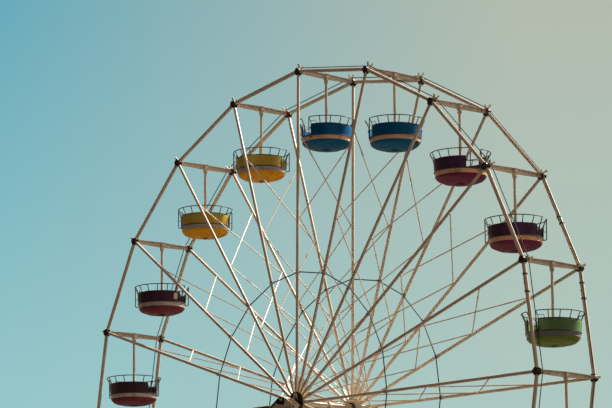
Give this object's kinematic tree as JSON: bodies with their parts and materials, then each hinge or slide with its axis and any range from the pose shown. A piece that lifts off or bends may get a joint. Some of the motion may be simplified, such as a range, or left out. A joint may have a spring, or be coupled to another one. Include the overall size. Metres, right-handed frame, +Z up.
{
  "type": "ferris wheel",
  "caption": "Ferris wheel with open round cabins that hang level between two spoked rims and turn about their poles, on two leg towers with a base frame and boarding decks.",
  "frame": {"origin": "on the ground under the hub, in the middle of the base frame", "axes": "+Z up, Y along the axle with the near side at -Y, X across the wheel"},
  "size_m": [24.567, 6.84, 26.0387],
  "materials": {
    "cream_paint": "weathered cream gloss paint",
    "dark_steel": "dark grimy paint over steel",
    "cable": "greased wire rope",
    "base_paint": "worn grey paint",
    "deck_plate": "worn chequered plate",
    "maroon_tub": "glossy maroon",
    "yellow_tub": "glossy ochre yellow",
    "blue_tub": "glossy blue",
    "burgundy_tub": "glossy burgundy",
    "olive_tub": "glossy olive green"
  },
  "bodies": {
    "supports": {"near_tower": "cream_paint", "far_tower": "cream_paint", "near_bearing": "dark_steel", "far_bearing": "dark_steel", "base_frame": "base_paint", "near_platform": "deck_plate", "far_platform": "deck_plate", "drive_gearbox": "dark_steel"},
    "wheel": {"near_rim": "cream_paint", "far_rim": "cream_paint", "near_spokes": "cream_paint", "far_spokes": "cream_paint", "near_inner_ring": "dark_steel", "far_inner_ring": "dark_steel", "near_rim_cable": "cable", "far_rim_cable": "cable", "hub_axle": "cream_paint"},
    "hanger_01": {"hanger_01": "cream_paint"},
    "tub_01": {"tub_01": "maroon_tub"},
    "hanger_02": {"hanger_02": "cream_paint"},
    "tub_02": {"tub_02": "maroon_tub"},
    "hanger_03": {"hanger_03": "cream_paint"},
    "tub_03": {"tub_03": "yellow_tub"},
    "hanger_04": {"hanger_04": "cream_paint"},
    "tub_04": {"tub_04": "yellow_tub"},
    "hanger_05": {"hanger_05": "cream_paint"},
    "tub_05": {"tub_05": "blue_tub"},
    "hanger_06": {"hanger_06": "cream_paint"},
    "tub_06": {"tub_06": "blue_tub"},
    "hanger_07": {"hanger_07": "cream_paint"},
    "tub_07": {"tub_07": "burgundy_tub"},
    "hanger_08": {"hanger_08": "cream_paint"},
    "tub_08": {"tub_08": "burgundy_tub"},
    "hanger_09": {"hanger_09": "cream_paint"},
    "tub_09": {"tub_09": "olive_tub"},
    "hanger_10": {"hanger_10": "cream_paint"},
    "tub_10": {"tub_10": "olive_tub"},
    "hanger_11": {"hanger_11": "cream_paint"},
    "tub_11": {"tub_11": "maroon_tub"},
    "hanger_12": {"hanger_12": "cream_paint"},
    "tub_12": {"tub_12": "maroon_tub"},
    "hanger_13": {"hanger_13": "cream_paint"},
    "tub_13": {"tub_13": "yellow_tub"},
    "hanger_14": {"hanger_14": "cream_paint"},
    "tub_14": {"tub_14": "yellow_tub"},
    "hanger_15": {"hanger_15": "cream_paint"},
    "tub_15": {"tub_15": "blue_tub"},
    "hanger_16": {"hanger_16": "cream_paint"},
    "tub_16": {"tub_16": "blue_tub"},
    "hanger_17": {"hanger_17": "cream_paint"},
    "tub_17": {"tub_17": "burgundy_tub"},
    "hanger_18": {"hanger_18": "cream_paint"},
    "tub_18": {"tub_18": "burgundy_tub"},
    "hanger_19": {"hanger_19": "cream_paint"},
    "tub_19": {"tub_19": "olive_tub"},
    "hanger_20": {"hanger_20": "cream_paint"},
    "tub_20": {"tub_20": "olive_tub"}
  },
  "joints": [
    {"name": "wheel_spin", "type": "hinge", "parent": "supports", "child": "wheel", "pos_m": [0, 0, 14.5], "axis": [0, 1, 0], "continuous": true},
    {"name": "hanger_01_level", "type": "hinge", "parent": "wheel", "child": "hanger_01", "pos_m": [-10.68436, 0, 18.17892], "axis": [0, 1, 0], "continuous": true},
    {"name": "hanger_02_level", "type": "hinge", "parent": "wheel", "child": "hanger_02", "pos_m": [-9.02458, 0, 21.30051], "axis": [0, 1, 0], "continuous": true},
    {"name": "hanger_03_level", "type": "hinge", "parent": "wheel", "child": "hanger_03", "pos_m": [-6.48141, 0, 23.75642], "axis": [0, 1, 0], "continuous": true},
    {"name": "hanger_04_level", "type": "hinge", "parent": "wheel", "child": "hanger_04", "pos_m": [-3.3038, 0, 25.30624], "axis": [0, 1, 0], "continuous": true},
    {"name": "hanger_05_level", "type": "hinge", "parent": "wheel", "child": "hanger_05", "pos_m": [0.19721, 0, 25.79828], "axis": [0, 1, 0], "continuous": true},
    {"name": "hanger_06_level", "type": "hinge", "parent": "wheel", "child": "hanger_06", "pos_m": [3.67892, 0, 25.18436], "axis": [0, 1, 0], "continuous": true},
    {"name": "hanger_07_level", "type": "hinge", "parent": "wheel", "child": "hanger_07", "pos_m": [6.80051, 0, 23.52458], "axis": [0, 1, 0], "continuous": true},
    {"name": "hanger_08_level", "type": "hinge", "parent": "wheel", "child": "hanger_08", "pos_m": [9.25642, 0, 20.98141], "axis": [0, 1, 0], "continuous": true},
    {"name": "hanger_09_level", "type": "hinge", "parent": "wheel", "child": "hanger_09", "pos_m": [10.80624, 0, 17.8038], "axis": [0, 1, 0], "continuous": true},
    {"name": "hanger_10_level", "type": "hinge", "parent": "wheel", "child": "hanger_10", "pos_m": [11.29828, 0, 14.30279], "axis": [0, 1, 0], "continuous": true},
    {"name": "hanger_11_level", "type": "hinge", "parent": "wheel", "child": "hanger_11", "pos_m": [10.68436, 0, 10.82108], "axis": [0, 1, 0], "continuous": true},
    {"name": "hanger_12_level", "type": "hinge", "parent": "wheel", "child": "hanger_12", "pos_m": [9.02458, 0, 7.69949], "axis": [0, 1, 0], "continuous": true},
    {"name": "hanger_13_level", "type": "hinge", "parent": "wheel", "child": "hanger_13", "pos_m": [6.48141, 0, 5.24358], "axis": [0, 1, 0], "continuous": true},
    {"name": "hanger_14_level", "type": "hinge", "parent": "wheel", "child": "hanger_14", "pos_m": [3.3038, 0, 3.69376], "axis": [0, 1, 0], "continuous": true},
    {"name": "hanger_15_level", "type": "hinge", "parent": "wheel", "child": "hanger_15", "pos_m": [-0.19721, 0, 3.20172], "axis": [0, 1, 0], "continuous": true},
    {"name": "hanger_16_level", "type": "hinge", "parent": "wheel", "child": "hanger_16", "pos_m": [-3.67892, 0, 3.81564], "axis": [0, 1, 0], "continuous": true},
    {"name": "hanger_17_level", "type": "hinge", "parent": "wheel", "child": "hanger_17", "pos_m": [-6.80051, 0, 5.47542], "axis": [0, 1, 0], "continuous": true},
    {"name": "hanger_18_level", "type": "hinge", "parent": "wheel", "child": "hanger_18", "pos_m": [-9.25642, 0, 8.01859], "axis": [0, 1, 0], "continuous": true},
    {"name": "hanger_19_level", "type": "hinge", "parent": "wheel", "child": "hanger_19", "pos_m": [-10.80624, 0, 11.1962], "axis": [0, 1, 0], "continuous": true},
    {"name": "hanger_20_level", "type": "hinge", "parent": "wheel", "child": "hanger_20", "pos_m": [-11.29828, 0, 14.69721], "axis": [0, 1, 0], "continuous": true},
    {"name": "tub_01_spin", "type": "hinge", "parent": "hanger_01", "child": "tub_01", "pos_m": [-10.68436, 0, 15.61892], "axis": [0, 0, 1], "continuous": true},
    {"name": "tub_02_spin", "type": "hinge", "parent": "hanger_02", "child": "tub_02", "pos_m": [-9.02458, 0, 18.74051], "axis": [0, 0, 1], "continuous": true},
    {"name": "tub_03_spin", "type": "hinge", "parent": "hanger_03", "child": "tub_03", "pos_m": [-6.48141, 0, 21.19642], "axis": [0, 0, 1], "continuous": true},
    {"name": "tub_04_spin", "type": "hinge", "parent": "hanger_04", "child": "tub_04", "pos_m": [-3.3038, 0, 22.74624], "axis": [0, 0, 1], "continuous": true},
    {"name": "tub_05_spin", "type": "hinge", "parent": "hanger_05", "child": "tub_05", "pos_m": [0.19721, 0, 23.23828], "axis": [0, 0, 1], "continuous": true},
    {"name": "tub_06_spin", "type": "hinge", "parent": "hanger_06", "child": "tub_06", "pos_m": [3.67892, 0, 22.62436], "axis": [0, 0, 1], "continuous": true},
    {"name": "tub_07_spin", "type": "hinge", "parent": "hanger_07", "child": "tub_07", "pos_m": [6.80051, 0, 20.96458], "axis": [0, 0, 1], "continuous": true},
    {"name": "tub_08_spin", "type": "hinge", "parent": "hanger_08", "child": "tub_08", "pos_m": [9.25642, 0, 18.42141], "axis": [0, 0, 1], "continuous": true},
    {"name": "tub_09_spin", "type": "hinge", "parent": "hanger_09", "child": "tub_09", "pos_m": [10.80624, 0, 15.2438], "axis": [0, 0, 1], "continuous": true},
    {"name": "tub_10_spin", "type": "hinge", "parent": "hanger_10", "child": "tub_10", "pos_m": [11.29828, 0, 11.74279], "axis": [0, 0, 1], "continuous": true},
    {"name": "tub_11_spin", "type": "hinge", "parent": "hanger_11", "child": "tub_11", "pos_m": [10.68436, 0, 8.26108], "axis": [0, 0, 1], "continuous": true},
    {"name": "tub_12_spin", "type": "hinge", "parent": "hanger_12", "child": "tub_12", "pos_m": [9.02458, 0, 5.13949], "axis": [0, 0, 1], "continuous": true},
    {"name": "tub_13_spin", "type": "hinge", "parent": "hanger_13", "child": "tub_13", "pos_m": [6.48141, 0, 2.68358], "axis": [0, 0, 1], "continuous": true},
    {"name": "tub_14_spin", "type": "hinge", "parent": "hanger_14", "child": "tub_14", "pos_m": [3.3038, 0, 1.13376], "axis": [0, 0, 1], "continuous": true},
    {"name": "tub_15_spin", "type": "hinge", "parent": "hanger_15", "child": "tub_15", "pos_m": [-0.19721, 0, 0.64172], "axis": [0, 0, 1], "continuous": true},
    {"name": "tub_16_spin", "type": "hinge", "parent": "hanger_16", "child": "tub_16", "pos_m": [-3.67892, 0, 1.25564], "axis": [0, 0, 1], "continuous": true},
    {"name": "tub_17_spin", "type": "hinge", "parent": "hanger_17", "child": "tub_17", "pos_m": [-6.80051, 0, 2.91542], "axis": [0, 0, 1], "continuous": true},
    {"name": "tub_18_spin", "type": "hinge", "parent": "hanger_18", "child": "tub_18", "pos_m": [-9.25642, 0, 5.45859], "axis": [0, 0, 1], "continuous": true},
    {"name": "tub_19_spin", "type": "hinge", "parent": "hanger_19", "child": "tub_19", "pos_m": [-10.80624, 0, 8.6362], "axis": [0, 0, 1], "continuous": true},
    {"name": "tub_20_spin", "type": "hinge", "parent": "hanger_20", "child": "tub_20", "pos_m": [-11.29828, 0, 12.13721], "axis": [0, 0, 1], "continuous": true}
  ],
  "couplings": [
    {"joint": "hanger_01_level", "follows": "wheel_spin", "ratio": -1},
    {"joint": "hanger_02_level", "follows": "wheel_spin", "ratio": -1},
    {"joint": "hanger_03_level", "follows": "wheel_spin", "ratio": -1},
    {"joint": "hanger_04_level", "follows": "wheel_spin", "ratio": -1},
    {"joint": "hanger_05_level", "follows": "wheel_spin", "ratio": -1},
    {"joint": "hanger_06_level", "follows": "wheel_spin", "ratio": -1},
    {"joint": "hanger_07_level", "follows": "wheel_spin", "ratio": -1},
    {"joint": "hanger_08_level", "follows": "wheel_spin", "ratio": -1},
    {"joint": "hanger_09_level", "follows": "wheel_spin", "ratio": -1},
    {"joint": "hanger_10_level", "follows": "wheel_spin", "ratio": -1},
    {"joint": "hanger_11_level", "follows": "wheel_spin", "ratio": -1},
    {"joint": "hanger_12_level", "follows": "wheel_spin", "ratio": -1},
    {"joint": "hanger_13_level", "follows": "wheel_spin", "ratio": -1},
    {"joint": "hanger_14_level", "follows": "wheel_spin", "ratio": -1},
    {"joint": "hanger_15_level", "follows": "wheel_spin", "ratio": -1},
    {"joint": "hanger_16_level", "follows": "wheel_spin", "ratio": -1},
    {"joint": "hanger_17_level", "follows": "wheel_spin", "ratio": -1},
    {"joint": "hanger_18_level", "follows": "wheel_spin", "ratio": -1},
    {"joint": "hanger_19_level", "follows": "wheel_spin", "ratio": -1},
    {"joint": "hanger_20_level", "follows": "wheel_spin", "ratio": -1}
  ]
}
